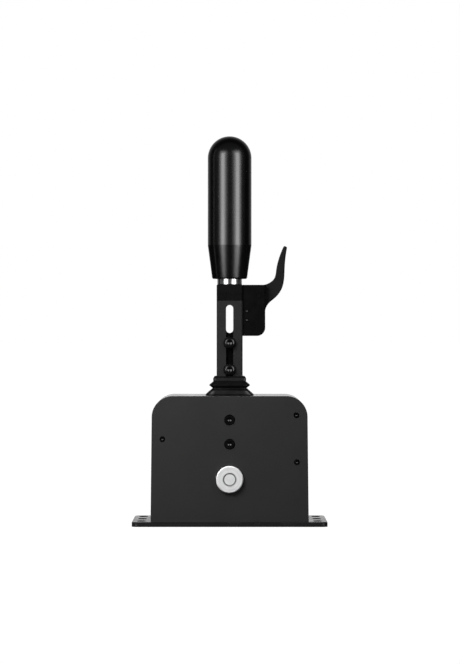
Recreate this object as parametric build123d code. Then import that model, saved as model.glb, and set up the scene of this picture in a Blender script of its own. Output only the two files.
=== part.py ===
from build123d import *
import os
from math import cos, radians, sqrt, tan

# Sim racing gear shifter, in millimetres.
# X runs to the trigger's side, Y away from the front plate, Z up.
# The origin is the middle of the base plate's underside.

# Base plate
base_width = 161.0
base_depth = 72.0
base_thickness = 4.0
base_corner_r = 5.0
base_edge_chamfer = 0.6
slot_width = 7.0
slot_length = 12.0
slot_pitch = 24.0
slots_per_flange = 3

# Housing: two side plates on the base with a bent sheet between them
housing_top = 107.3
housing_half_top = 63.8
housing_half_foot = 64.9
housing_corner_r = 17.2
plate_thickness = 6.0
plate_chamfer = 0.5
sheet_thickness = 1.5
lever_opening_x = 37.0
lever_opening_y = 24.0
lever_opening_r = 4.0

# Axle and its flanged bushes
axle_z = 38.95
axle_r = 5.0
axle_chamfer = 0.5
axle_proud = 0.5
running_gap = 0.05
bush_flange_r = 11.1
bush_flange_thickness = 2.6
bush_flange_chamfer = 0.7
bush_barrel_r = 8.0
bush_mouth_chamfer = 0.45

# Lever inside the stem
swing = 6.0
arm_width = 16.0
arm_head_gap = 0.75
arm_notch_r = 3.0
hub_r = 14.0
hub_length = 24.0
tail_depth = 12.0
tail_bottom_z = 10.5
spacer_r = 7.5
side_gap = 0.2
set_screw_r = 2.5
set_screw_length = 8.0

# Stem: square tube, head block and two bolts in its slot
stem_width = 21.6
stem_wall = 2.7
stem_bottom_z = 116.0
stem_top_z = 185.9
stem_chamfer = 0.8
stem_slot_width = 6.05
stem_slot_top_z = 182.6
stem_slot_bottom_z = 120.5
stem_bolt_heights = (150.9, 128.6)
head_top_z = 199.4
head_chamfer = 0.6
spigot_length = 3.0
stem_lowering = 20.0

# Fasteners: each screw is thread radius, head radius, head height, socket width over flats and length
thread_gap = 0.05
socket_depth_share = 0.6
button_dome_share = 0.45
stem_bolt = dict(r=3.0, head_r=5.25, head_h=3.3, socket=4.0, length=16.0)
guide_screw = dict(r=2.5, head_r=4.25, head_h=3.0, socket=4.0, length=16.0)
guide_screw_heights = (87.7, 67.8)
counterbore_gap = 0.3
cover_screw = dict(r=1.25, head_r=2.4, head_h=1.4, socket=1.5, length=7.5)
cover_screw_places = ((-55.2, 71.95), (54.8, 91.6), (55.2, 53.1))
base_screw = dict(r=1.5, head_r=2.7, head_h=1.5, socket=2.0, length=10.0)
plate_screw_x = 45.0
plate_screw_inset = 3.4
small_screw = dict(r=1.0, head_r=1.9, head_h=1.3, socket=1.3, length=4.5)

# Guide blocks that steady the arm
guide_width = 20.0
guide_bottom_z = 60.0
guide_top_z = 93.2
guide_corner_r = 2.0

# Centring springs on a rod through the arm
rod_z = 66.95
rod_r = 3.0
rod_half_length = 60.5
rod_slot_width = 6.8
rod_slot_height = 9.6
bracket_x = 50.0
bracket_thickness = 4.0
bracket_half_depth = 14.0
bracket_top_z = 76.0
bracket_foot_length = 14.0
bracket_foot_height = 6.0
bracket_bend_r = 3.0
rod_nut_flats = 10.0
rod_nut_height = 5.0
spring_outer_r = 8.0
spring_wire = 2.0
cup_nose_r = 7.0
cup_nose_crown = 12.0
cup_nose_length = 5.5
cup_flange_r = 9.5
cup_flange_length = 2.0
cup_spigot_length = 5.0
cup_spigot_gap = 0.3
nose_gap = 0.1

# Stops that set the swing
stop_z = 16.0
stop_x = 16.0
stop_length = 14.0
stop_depth = 20.0
stop_height = 18.0
stop_chamfer = 1.0
stop_screw_r = 3.0
stop_screw_length = 26.0
stop_nut_flats = 10.0
stop_nut_height = 4.0

# Swing sensor
magnet_r = 3.0
magnet_length = 3.0
sensor_width = 20.0
sensor_depth = 28.0
board_thickness = 1.6
sensor_spacer_height = 1.5
sensor_spacer_r = 2.2
sensor_screw_y = 11.0
chip_width = 4.0
chip_depth = 3.0
chip_height = 1.0

# Electronics on the rear plate
board_x = -36.0
board_z = 28.0
board_width = 36.0
board_height = 30.0
board_corner_r = 2.0
board_hole_inset = 3.5
standoff_length = 4.0
standoff_r = 2.5
socket_width = 8.94
socket_height = 3.26
socket_wall = 0.3
socket_recess = 0.5
tongue_width = 6.7
tongue_thickness = 0.7
tongue_recess = 0.8
socket_depth = 6.5
socket_opening_gap = 0.25

# Knob
knob_r = 18.3
knob_foot_r = 14.65
knob_taper_z = 232.3
knob_top_z = 323.4
knob_foot_chamfer = 0.8
collar_r = 10.35
collar_chamfer = 0.4
collar_height = 5.0
stud_r = 6.0
stud_in_knob = 36.0
stud_in_head = 11.0

# Trigger box
box_left = stem_width / 2
box_right = 29.6
box_bottom_z = 156.7
box_top_z = 199.2
box_half_depth = 9.0
box_corner_r = 6.9
box_wall = 3.0
box_left_wall = 1.4
box_right_wall = 2.5
box_wall_top_z = 176.0
box_mouth_x = 23.6
box_edge_chamfer = 0.5

# Trigger
pivot_x = 24.0
pivot_z = 189.8
pivot_r = 2.0
trigger_half_depth = 4.0
trigger_gap = 0.4
trigger_edge = 0.8
trigger_hub_r = 6.0
tail_left_x = 21.2
tail_right_x = 24.3
tail_end_z = 171.5
hook_reach = 18.35
hook_rise = 33.3
# Points of the hook, as shares of its reach past the box and its rise over the box
hook_inner_shares = (
    (0.182, 0.049),
    (0.42, 0.168),
    (0.514, 0.398),
    (0.608, 0.627),
    (0.757, 0.859),
    (0.86, 0.985),
)
hook_outer_shares = (
    (1.0, 0.948),
    (0.95, 0.783),
    (0.901, 0.55),
    (0.878, 0.269),
    (0.779, -0.061),
    (0.503, -0.294),
    (0.188, -0.446),
    (0.0, -0.676),
)
hook_tip_r = 1.2
spring_pocket_r = 4.6
spring_pocket_depth = 3.0
torsion_outer_r = 4.0
torsion_wire = 0.8

# Switch in the trigger box
switch_screw_x = 14.3
switch_screw_heights = (177.5, 170.0)
switch_width = 6.5
switch_height = 14.4
switch_half_depth = 2.9
switch_gap = 0.2
switch_boss_r = 1.9
switch_screw = dict(r=1.0, head_r=1.9, head_h=1.2, socket=1.3, length=15.0)
blade_thickness = 0.4
blade_half_depth = 1.6
blade_foot_z = 167.6
blade_top_z = 178.5
blade_gap = 0.3
plunger_r = 0.9
plunger_z = 173.75
plunger_depth = 1.0
plunger_gap = 0.35
housing_screw = dict(r=1.25, head_r=2.2, head_h=1.6, socket=2.0, length=5.0)
housing_screw_heights = (192.6, 163.2)

# Boot: half-widths of the bellows at their heights over the housing's top
boot_flat_half = 11.5
boot_wall = 1.3
boot_gap = 0.3
boot_rings = (
    (0.0, 20.0),
    (1.0, 20.0),
    (6.0, 13.9),
    (8.5, 17.0),
    (11.4, 13.7),
    (14.2, 13.7),
    (15.9, 12.5),
)

# Every cut runs this far past the face that it opens
overrun = 1.0

# Sizes that follow from those above
half_depth = base_depth / 2
inner_half = half_depth - plate_thickness
arm_half = arm_width / 2
arm_top_z = stem_top_z - spigot_length - stem_lowering - arm_head_gap
stem_half = stem_width / 2
bore_half = stem_half - stem_wall
slot_x = (base_width / 2 + housing_half_foot) / 2
tail_half_depth = tail_depth / 2
board_y = inner_half - standoff_length
stop_tip_x = arm_half / cos(radians(swing)) + (axle_z - stop_z + stop_screw_r) * tan(radians(swing))
stop_tip_x += running_gap


def slab(outline, y_from, y_to):
    """A flat outline in X and Z, carried along Y from y_from to y_to."""
    return extrude(Plane.XZ.offset(-y_from) * outline, -(y_to - y_from))


def rod_y(x, z, r, y_from, y_to):
    """A round rod along Y."""
    return slab(Pos(x, z) * Circle(r), y_from, y_to)


def rod_x(y, z, r, x_from, x_to):
    """A round rod along X."""
    return extrude(Plane.YZ.offset(x_from) * Pos(y, z) * Circle(r), x_to - x_from)


def block(x_span, y_span, z_span):
    """A box between two values on each axis."""
    size = [high - low for low, high in (x_span, y_span, z_span)]
    middle = [(low + high) / 2 for low, high in (x_span, y_span, z_span)]
    return Pos(*middle) * Box(*size)


def group(pieces):
    """Separate solids that share one node."""
    return Compound(children=[solid for piece in pieces for solid in piece.solids()])


def hexagon(flats):
    """A regular hexagon with the given width over its flats."""
    return RegularPolygon(flats / 2, 6, major_radius=False)


def cap_screw(size):
    """A socket screw with a cylindrical head, pointing down from the seat of its head at the origin."""
    r, head_r, head_h = size["r"], size["head_r"], size["head_h"]
    screw = extrude(Circle(head_r), head_h)
    screw = chamfer(screw.faces().sort_by(Axis.Z)[-1].edges(), head_h / 8)
    screw += extrude(Circle(r), -size["length"])
    depth = head_h * socket_depth_share
    return screw - Pos(0, 0, head_h - depth) * extrude(hexagon(size["socket"]), depth + overrun)


def button_screw(size):
    """A socket screw with a domed head, pointing down from the seat of its head at the origin."""
    r, head_r, head_h = size["r"], size["head_r"], size["head_h"]
    rim = head_h * (1 - button_dome_share) / 2
    crown_r = head_r * (1 - button_dome_share)
    profile = Polyline((0, 0), (head_r, 0), (head_r, rim))
    shoulder = ((head_r + crown_r) / 2 + rim / 2, (head_h + rim) / 2 + rim / 4)
    profile += ThreePointArc((head_r, rim), shoulder, (crown_r, head_h))
    profile += Polyline((crown_r, head_h), (0, head_h), (0, 0))
    screw = revolve(Plane.XZ * make_face(profile), Axis.Z)
    screw += extrude(Circle(r), -size["length"])
    depth = head_h * socket_depth_share
    return screw - Pos(0, 0, head_h - depth) * extrude(hexagon(size["socket"]), depth + overrun)


def countersunk_screw(size):
    """A countersunk socket screw with its flat top at the origin, pointing down."""
    r, head_r, head_h = size["r"], size["head_r"], size["head_h"]
    profile = Polyline(
        (0, 0), (head_r, 0), (r, -head_h), (r, -size["length"]), (0, -size["length"]), close=True
    )
    screw = revolve(Plane.XZ * make_face(profile), Axis.Z)
    depth = head_h * socket_depth_share
    return screw - Pos(0, 0, -depth) * extrude(hexagon(size["socket"]), depth + overrun)


def countersink(size, length):
    """The hole that a countersunk screw needs, thread clearance included."""
    r, head_r, head_h = size["r"] + thread_gap, size["head_r"] + thread_gap, size["head_h"]
    profile = Polyline(
        (0, overrun), (head_r, overrun), (head_r, 0), (r, -head_h), (r, -length), (0, -length), close=True
    )
    return revolve(Plane.XZ * make_face(profile), Axis.Z)


def to_front(x, y, z):
    """Places what points down so that it points along +Y, with its top at the front."""
    return Pos(x, y, z) * Rot(90, 0, 0)


def to_bottom(x, y, z):
    """Turns what points down so that it points up, with its top at the bottom."""
    return Pos(x, y, z) * Rot(180, 0, 0)


def front_and_rear(piece):
    """A piece at the front and its mirror image at the rear."""
    return [piece, mirror(piece, about=Plane.XZ)]


def left_and_right(piece):
    """A piece on the right and its mirror image on the left."""
    return [piece, mirror(piece, about=Plane.YZ)]


# Base and housing


def base_screw_places():
    """X and Y of every screw that comes up through the base, with what it holds."""
    plate_y = half_depth - plate_screw_inset
    foot_x = bracket_x - bracket_foot_length / 2
    block_x = stop_x + stop_length / 2
    places = [(x, y) for x in (-plate_screw_x, plate_screw_x) for y in (-plate_y, plate_y)]
    places += [(x, y) for x in (-foot_x, foot_x) for y in (-bracket_half_depth / 2, bracket_half_depth / 2)]
    places += [(x, y) for x in (-block_x, block_x) for y in (-stop_depth / 4, stop_depth / 4)]
    return places


def base_plate():
    """Flat plate whose broken top edge runs round the two flanges and stops at the housing."""
    plate = extrude(RectangleRounded(base_width, base_depth, base_corner_r), base_thickness)
    plate = chamfer(plate.faces().sort_by(Axis.Z)[-1].edges(), base_edge_chamfer)
    plate += block((-housing_half_foot, housing_half_foot), (-half_depth, half_depth), (0, base_thickness))
    slot = extrude(Rot(0, 0, 90) * SlotOverall(slot_length, slot_width), base_thickness + 2 * overrun)
    for side in (-1, 1):
        for step in range(slots_per_flange):
            y = (step - (slots_per_flange - 1) / 2) * slot_pitch
            plate -= Pos(side * slot_x, y, -overrun) * slot
    for x, y in base_screw_places():
        plate -= to_bottom(x, y, 0) * countersink(base_screw, base_thickness + overrun)
    for y in (-sensor_screw_y, sensor_screw_y):
        hole_depth = small_screw["length"] - board_thickness - sensor_spacer_height
        hole_r = small_screw["r"] + thread_gap
        plate -= Pos(0, y, base_thickness - hole_depth) * extrude(Circle(hole_r), hole_depth + overrun)
    return plate


def base_screws():
    return group([to_bottom(x, y, 0) * countersunk_screw(base_screw) for x, y in base_screw_places()])


def housing_outline(inset):
    """The housing's face, drawn in by inset: nearly upright sides, two round corners."""
    half_foot = housing_half_foot - inset
    half_top = housing_half_top - inset
    top = housing_top - inset
    corners = [(-half_foot, base_thickness), (-half_top, top), (half_top, top), (half_foot, base_thickness)]
    face = make_face(Polyline(*corners, close=True))
    return fillet(face.vertices().group_by(Axis.Y)[-1], housing_corner_r - inset)


def side_plate():
    """The front plate; the rear one is its mirror image."""
    plate = slab(housing_outline(0), -half_depth, -inner_half)
    rim = plate.faces().sort_by(Axis.Y)[0].edges().filter_by(
        lambda edge: edge.center().Z > base_thickness + plate_chamfer
    )
    plate = chamfer(rim, plate_chamfer)
    plate -= rod_y(0, axle_z, bush_barrel_r + thread_gap, -half_depth - overrun, -inner_half + overrun)
    counterbore_r = guide_screw["head_r"] + counterbore_gap
    counterbore_floor = -half_depth + guide_screw["head_h"]
    for z in guide_screw_heights:
        plate -= rod_y(0, z, guide_screw["r"] + thread_gap, -half_depth, -inner_half + overrun)
        plate -= rod_y(0, z, counterbore_r, -half_depth - overrun, counterbore_floor)
    for x, z in cover_screw_places:
        plate -= to_front(x, -half_depth, z) * countersink(cover_screw, plate_thickness + overrun)
    for side in (-1, 1):
        place = to_bottom(side * plate_screw_x, plate_screw_inset - half_depth, 0)
        depth = base_screw["length"] + running_gap
        plate -= place * countersink(base_screw, depth)
    return plate


def rear_side_plate():
    plate = mirror(side_plate(), about=Plane.XZ)
    width = socket_width + 2 * socket_opening_gap
    height = socket_height + 2 * socket_opening_gap
    opening = Pos(board_x, board_z) * SlotOverall(width, height)
    return plate - slab(opening, inner_half - overrun, half_depth + overrun)


def arch_cover():
    """One bent sheet from foot to foot, open for the lever, with three tabs behind each plate."""
    cover = slab(housing_outline(0) - housing_outline(sheet_thickness), -inner_half, inner_half)
    opening = extrude(RectangleRounded(lever_opening_x, lever_opening_y, lever_opening_r), housing_top)
    cover -= Pos(0, 0, housing_top / 2) * opening
    tab_half = 3 * cover_screw["head_r"]
    for x, z in cover_screw_places:
        side = 1 if x > 0 else -1
        reach = housing_half_foot - abs(x) + tab_half
        patch = Pos(x + side * (reach - 2 * tab_half) / 2, z) * Rectangle(reach, 2 * tab_half)
        tab = slab(patch & housing_outline(sheet_thickness / 2), -inner_half, -inner_half + sheet_thickness)
        tab -= rod_y(x, z, cover_screw["r"] + thread_gap, -half_depth, 0)
        for copy in front_and_rear(tab):
            cover += copy
    return cover


def cover_screws():
    screws = []
    for x, z in cover_screw_places:
        screws += front_and_rear(to_front(x, -half_depth, z) * countersunk_screw(cover_screw))
    return group(screws)


def lever_boot():
    """Square rubber bellows: its flat sides keep one width, so the corners grow round as it widens."""

    def stack(offset_in, stretch):
        rings = []
        for height, half in boot_rings:
            half = max(half - offset_in, stem_half + boot_gap) if offset_in else half
            corner = max(half - boot_flat_half + offset_in, boot_gap)
            z = housing_top + height
            if stretch and height in (boot_rings[0][0], boot_rings[-1][0]):
                z += -overrun if height == boot_rings[0][0] else overrun
            rings.append(Pos(0, 0, z) * RectangleRounded(2 * half, 2 * half, corner))
        return loft(rings, ruled=True)

    return stack(0, False) - stack(boot_wall, True)


# Axle and lever


def axle_bush():
    """The front flanged bush, turned: its barrel fills the plate's bore."""
    outer = -half_depth - bush_flange_thickness
    profile = Polyline(
        (axle_r + running_gap, -inner_half),
        (bush_barrel_r, -inner_half),
        (bush_barrel_r, -half_depth),
        (bush_flange_r, -half_depth),
        (bush_flange_r, outer + bush_flange_chamfer),
        (bush_flange_r - bush_flange_chamfer, outer),
        (axle_r + running_gap + bush_mouth_chamfer, outer),
        (axle_r + running_gap, outer + bush_mouth_chamfer),
        close=True,
    )
    return Pos(0, 0, axle_z) * revolve(make_face(profile), Axis.Y)


def axle():
    half = half_depth + bush_flange_thickness - axle_proud
    shaft = rod_y(0, axle_z, axle_r, -half, half)
    ends = shaft.edges().filter_by(GeomType.CIRCLE)
    shaft = chamfer(ends, axle_chamfer)
    flat_depth = axle_r - axle_chamfer
    flat = block(
        (flat_depth, axle_r + overrun),
        (-2 * set_screw_r, 2 * set_screw_r),
        (axle_z - axle_r, axle_z + axle_r),
    )
    return shaft - flat


def axle_spacers():
    spacer = rod_y(0, axle_z, spacer_r, -inner_half + side_gap, -hub_length / 2)
    spacer -= rod_y(0, axle_z, axle_r + running_gap, -half_depth, 0)
    return group(front_and_rear(spacer))


def axle_set_screw():
    flat_x = axle_r - axle_chamfer
    screw = rod_x(0, axle_z, set_screw_r, flat_x, flat_x + set_screw_length)
    socket = Plane.YZ.offset(flat_x + set_screw_length / 2) * Pos(0, axle_z) * hexagon(set_screw_r)
    return screw - extrude(socket, set_screw_length)


def lever_arm():
    """Machined bar: hub on the axle, tail below, notch at the top and tapped holes for the stem bolts."""
    arm = block((-arm_half, arm_half), (-arm_half, arm_half), (axle_z, arm_top_z))
    arm = chamfer(arm.edges().filter_by(Axis.Z), stem_chamfer)
    arm += rod_y(0, axle_z, hub_r, -hub_length / 2, hub_length / 2)
    arm += block((-arm_half, arm_half), (-tail_half_depth, tail_half_depth), (tail_bottom_z, axle_z))
    arm -= rod_y(0, axle_z, axle_r + running_gap, -half_depth, half_depth)
    arm -= rod_y(0, arm_top_z, arm_notch_r, -half_depth, half_depth)
    for z in stem_bolt_heights:
        arm -= rod_y(0, z, stem_bolt["r"] + thread_gap, -half_depth, half_depth)
    arm -= rod_x(0, axle_z, set_screw_r + thread_gap, 0, hub_r + overrun)
    rod_slot = Pos(0, rod_z) * Rot(0, 0, 90) * SlotOverall(rod_slot_height, rod_slot_width)
    arm -= extrude(Plane.YZ.offset(-hub_r) * rod_slot, 2 * hub_r)
    pocket = extrude(Circle(magnet_r + thread_gap), magnet_length + overrun)
    return arm - Pos(0, 0, tail_bottom_z - overrun) * pocket


def sensor_magnet():
    return Pos(0, 0, tail_bottom_z) * extrude(Circle(magnet_r), magnet_length)


def stem_bolts():
    return group([to_front(0, -stem_half, z) * button_screw(stem_bolt) for z in stem_bolt_heights])


def guide_block():
    """Low-friction block between the front plate and the arm, with two tapped holes."""
    outline = Pos(0, (guide_bottom_z + guide_top_z) / 2) * RectangleRounded(
        guide_width, guide_top_z - guide_bottom_z, guide_corner_r
    )
    piece = slab(outline, -inner_half, -arm_half - side_gap)
    hole_end = -half_depth + guide_screw["head_h"] + guide_screw["length"] + running_gap
    for z in guide_screw_heights:
        piece -= rod_y(0, z, guide_screw["r"] + thread_gap, -half_depth, hole_end)
    return piece


def guide_screws():
    seat = -half_depth + guide_screw["head_h"]
    screws = []
    for z in guide_screw_heights:
        screws += front_and_rear(to_front(0, seat, z) * cap_screw(guide_screw))
    return group(screws)


# Centring springs


def spring_bracket():
    """The right bracket: upright plate and foot, bent from one strip."""
    upright = block(
        (bracket_x, bracket_x + bracket_thickness),
        (-bracket_half_depth, bracket_half_depth),
        (base_thickness, bracket_top_z),
    )
    corners = upright.edges().filter_by(Axis.X).group_by(Axis.Z)[-1]
    bracket = fillet(corners, 2 * bracket_bend_r)
    bracket += block(
        (bracket_x - bracket_foot_length, bracket_x),
        (-bracket_half_depth, bracket_half_depth),
        (base_thickness, base_thickness + bracket_foot_height),
    )
    bracket -= rod_x(0, rod_z, rod_r + thread_gap, 0, base_width)
    for y in (-bracket_half_depth / 2, bracket_half_depth / 2):
        place = to_bottom(bracket_x - bracket_foot_length / 2, y, 0)
        bracket -= place * countersink(base_screw, base_screw["length"] + overrun)
    return bracket


def spring_rod():
    rod = rod_x(0, rod_z, rod_r, -rod_half_length, rod_half_length)
    return chamfer(rod.edges().filter_by(GeomType.CIRCLE), axle_chamfer)


def nut(x_from, z, flats, height, r):
    """A hexagon nut on a thread along X."""
    face = Plane.YZ.offset(x_from) * Pos(0, z) * (hexagon(flats) - Circle(r + thread_gap))
    return extrude(face, height)


def rod_nuts():
    seat_x = bracket_x + bracket_thickness
    return group(left_and_right(nut(seat_x, rod_z, rod_nut_flats, rod_nut_height, rod_r)))


def spring_cup():
    """The right cup, turned: crowned nose against the arm, flange for the spring, spigot inside it."""
    bore = rod_r + running_gap
    start = arm_half + nose_gap
    spigot_r = spring_outer_r - spring_wire - cup_spigot_gap
    flange_x = start + cup_nose_length
    seat_x = flange_x + cup_flange_length
    crown_drop = cup_nose_crown - sqrt(cup_nose_crown**2 - cup_nose_r**2)
    bore_drop = cup_nose_crown - sqrt(cup_nose_crown**2 - bore**2)
    middle_r = (cup_nose_r + bore) / 2
    middle_drop = cup_nose_crown - sqrt(cup_nose_crown**2 - middle_r**2)
    nose = ThreePointArc(
        (start + bore_drop, bore), (start + middle_drop, middle_r), (start + crown_drop, cup_nose_r)
    )
    rest = Polyline(
        (start + crown_drop, cup_nose_r),
        (flange_x, cup_nose_r),
        (flange_x, cup_flange_r),
        (seat_x, cup_flange_r),
        (seat_x, spigot_r),
        (seat_x + cup_spigot_length, spigot_r),
        (seat_x + cup_spigot_length, bore),
        (start + bore_drop, bore),
    )
    return Pos(0, 0, rod_z) * revolve(Plane.XZ * make_face(nose + rest), Axis.X)


def centring_spring():
    """The right spring: ground flat coil ends are drawn as the tube that the wire fills."""
    seat_x = arm_half + nose_gap + cup_nose_length + cup_flange_length
    tube = rod_x(0, rod_z, spring_outer_r, seat_x, bracket_x)
    return tube - rod_x(0, rod_z, spring_outer_r - spring_wire, seat_x - overrun, bracket_x + overrun)


# Stops and sensor


def stop_block():
    """The right stop block on the base, tapped along X for its screw."""
    body = block(
        (stop_x, stop_x + stop_length),
        (-stop_depth / 2, stop_depth / 2),
        (base_thickness, base_thickness + stop_height),
    )
    body = chamfer(body.faces().sort_by(Axis.Z)[-1].edges(), stop_chamfer)
    body -= rod_x(0, stop_z, stop_screw_r + thread_gap, 0, base_width)
    for y in (-stop_depth / 4, stop_depth / 4):
        place = to_bottom(stop_x + stop_length / 2, y, 0)
        body -= place * countersink(base_screw, base_screw["length"] + running_gap)
    return body


def stop_screws():
    screw = rod_x(0, stop_z, stop_screw_r, stop_tip_x, stop_tip_x + stop_screw_length)
    socket = Plane.YZ.offset(stop_tip_x + stop_screw_length - stop_screw_r) * Pos(0, stop_z)
    screw -= extrude(socket * hexagon(stop_screw_r), stop_screw_r + overrun)
    return group(left_and_right(screw))


def stop_nuts():
    seat_x = stop_x + stop_length
    return group(left_and_right(nut(seat_x, stop_z, stop_nut_flats, stop_nut_height, stop_screw_r)))


def sensor_board():
    """Board under the magnet, with the sensor chip on it."""
    low = base_thickness + sensor_spacer_height
    top = low + board_thickness
    board = block((-sensor_width / 2, sensor_width / 2), (-sensor_depth / 2, sensor_depth / 2), (low, top))
    chip_half = chip_width / 2
    board += block((-chip_half, chip_half), (-chip_depth / 2, chip_depth / 2), (top, top + chip_height))
    hole = extrude(Circle(small_screw["r"] + thread_gap), board_thickness + 2 * overrun)
    for y in (-sensor_screw_y, sensor_screw_y):
        board -= Pos(0, y, low - overrun) * hole
    return board


def sensor_spacers():
    ring = Circle(sensor_spacer_r) - Circle(small_screw["r"] + thread_gap)
    spacer = Pos(0, 0, base_thickness) * extrude(ring, sensor_spacer_height)
    return group([Pos(0, y, 0) * spacer for y in (-sensor_screw_y, sensor_screw_y)])


def sensor_screws():
    seat = base_thickness + sensor_spacer_height + board_thickness
    return group([Pos(0, y, seat) * cap_screw(small_screw) for y in (-sensor_screw_y, sensor_screw_y)])


# Electronics on the rear plate


def board_hole_places():
    half_w = board_width / 2 - board_hole_inset
    half_h = board_height / 2 - board_hole_inset
    return [(board_x + i * half_w, board_z + j * half_h) for i in (-1, 1) for j in (-1, 1)]


def controller_board():
    outline = Pos(board_x, board_z) * RectangleRounded(board_width, board_height, board_corner_r)
    board = slab(outline, board_y - board_thickness, board_y)
    for x, z in board_hole_places():
        board -= rod_y(x, z, small_screw["r"] + thread_gap, 0, half_depth)
    return board


def board_standoffs():
    posts = []
    for x, z in board_hole_places():
        post = rod_y(x, z, standoff_r, board_y, inner_half)
        posts.append(post - rod_y(x, z, small_screw["r"] + thread_gap, 0, inner_half - running_gap))
    return group(posts)


def board_screws():
    seat = board_y - board_thickness
    return group([to_front(x, seat, z) * cap_screw(small_screw) for x, z in board_hole_places()])


def usb_socket():
    """Upright socket: a stadium shell, open at the rear, with a tongue in it."""
    mouth = half_depth - socket_recess
    place = Pos(board_x, board_z)
    shell = slab(place * SlotOverall(socket_width, socket_height), board_y, mouth)
    inner = SlotOverall(socket_width - 2 * socket_wall, socket_height - 2 * socket_wall)
    shell -= slab(place * inner, mouth - socket_depth, mouth + overrun)
    tongue = place * Rectangle(tongue_width, tongue_thickness)
    return shell + slab(tongue, mouth - socket_depth - overrun, mouth - tongue_recess)


# Stem, head and knob


def stem_tube():
    tube = block((-stem_half, stem_half), (-stem_half, stem_half), (stem_bottom_z, stem_top_z))
    tube = chamfer(tube.edges().filter_by(Axis.Z), stem_chamfer)
    tube -= block(
        (-bore_half, bore_half), (-bore_half, bore_half), (stem_bottom_z - overrun, stem_top_z + overrun)
    )
    length = stem_slot_top_z - stem_slot_bottom_z
    middle = (stem_slot_top_z + stem_slot_bottom_z) / 2
    slot = Pos(0, middle) * Rot(0, 0, 90) * SlotOverall(length, stem_slot_width)
    tube -= slab(slot, -stem_half - overrun, stem_half + overrun)
    return tube - rod_x(0, housing_screw_heights[1], housing_screw["r"] + thread_gap, 0, base_width)


def stem_head():
    """Block on top of the tube with a spigot in it, tapped for the stud and for the trigger box."""
    head = block((-stem_half, stem_half), (-stem_half, stem_half), (stem_top_z, head_top_z))
    head = chamfer(head.edges().filter_by(Axis.Z), stem_chamfer)
    head = chamfer(head.faces().sort_by(Axis.Z)[-1].edges(), head_chamfer)
    spigot_half = bore_half - running_gap
    head += block(
        (-spigot_half, spigot_half), (-spigot_half, spigot_half), (stem_top_z - spigot_length, stem_top_z)
    )
    bore = extrude(Circle(stud_r + thread_gap), stud_in_head + overrun)
    head -= Pos(0, 0, head_top_z - stud_in_head) * bore
    tip_x = box_left + box_left_wall - housing_screw["length"]
    return head - rod_x(0, housing_screw_heights[0], housing_screw["r"] + thread_gap, tip_x, base_width)


def knob_stud():
    length = stud_in_head + collar_height + stud_in_knob
    stud = Pos(0, 0, head_top_z - stud_in_head) * extrude(Circle(stud_r), length)
    return chamfer(stud.edges().filter_by(GeomType.CIRCLE), axle_chamfer)


def knob_collar():
    ring = extrude(Circle(collar_r) - Circle(stud_r + thread_gap), collar_height)
    rims = ring.edges().filter_by(GeomType.CIRCLE).filter_by(lambda edge: edge.radius > stud_r + overrun)
    return Pos(0, 0, head_top_z) * chamfer(rims, collar_chamfer)


def shift_knob():
    """Turned knob: dome, straight grip and a foot that tapers to the collar."""
    foot_z = head_top_z + collar_height
    dome_z = knob_top_z - knob_r
    side = Polyline(
        (0, foot_z),
        (knob_foot_r - knob_foot_chamfer, foot_z),
        (knob_foot_r, foot_z + knob_foot_chamfer),
        (knob_r, knob_taper_z),
        (knob_r, dome_z),
    )
    dome = CenterArc((0, dome_z), knob_r, 0, 90)
    profile = side + dome + Line((0, knob_top_z), (0, foot_z))
    knob = revolve(Plane.XZ * make_face(profile), Axis.Z)
    bore = extrude(Circle(stud_r + thread_gap), stud_in_knob + overrun + running_gap)
    return knob - Pos(0, 0, foot_z - overrun) * bore


# Trigger box


def box_outline():
    """The box's face: square at the stem, one large round corner below on the free side."""
    face = make_face(
        Polyline(
            (box_left, box_bottom_z),
            (box_right, box_bottom_z),
            (box_right, box_top_z),
            (box_left, box_top_z),
            close=True,
        )
    )
    corner = face.vertices().group_by(Axis.Y)[0].sort_by(Axis.X)[-1]
    return fillet(corner, box_corner_r)


def box_cavity():
    """The room inside: walls at the stem, bottom, top and low on the right, open at the upper right."""
    inner_r = box_corner_r - box_right_wall
    left, low = box_left + box_left_wall, box_bottom_z + box_wall
    inner_right = box_right - box_right_wall
    face = make_face(
        Polyline(
            (left, low),
            (inner_right, low),
            (inner_right, box_wall_top_z),
            (box_right + overrun, box_wall_top_z),
            (box_right + overrun, box_top_z + overrun),
            (box_mouth_x, box_top_z + overrun),
            (box_mouth_x, box_top_z - box_wall),
            (left, box_top_z - box_wall),
            close=True,
        )
    )
    corner = face.vertices().group_by(Axis.Y)[0].sort_by(Axis.X)[-1]
    return fillet(corner, inner_r)


def break_box_edges(face):
    """Breaks the edges of a box half's outer face, but not the one along the stem."""
    rim = face.edges().filter_by(lambda edge: edge.center().X > box_left + box_edge_chamfer)
    return chamfer(rim, box_edge_chamfer)


def drill_box(piece):
    """Holes for the pivot pin and the switch screws."""
    pin_end = box_half_depth - pivot_r
    piece -= rod_y(pivot_x, pivot_z, pivot_r + thread_gap, -box_half_depth - overrun, pin_end)
    for z in switch_screw_heights:
        hole_end = -box_half_depth + switch_screw["head_h"] + switch_screw["length"] + running_gap
        piece -= rod_y(switch_screw_x, z, switch_screw["r"] + thread_gap, -box_half_depth, hole_end)
    return piece


def trigger_housing():
    """Rear half of the box, with the walls, and two bosses behind the switch."""
    room = trigger_half_depth + trigger_gap
    half = slab(box_outline(), -room, box_half_depth)
    half = break_box_edges(half.faces().sort_by(Axis.Y)[-1])
    half -= slab(box_cavity(), -room - overrun, room)
    for z in switch_screw_heights:
        half += rod_y(switch_screw_x, z, switch_boss_r, switch_half_depth, room)
    half = drill_box(half)
    for z in housing_screw_heights:
        half -= rod_x(0, z, housing_screw["r"] + thread_gap, 0, box_left + box_left_wall + overrun)
    return half


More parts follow.
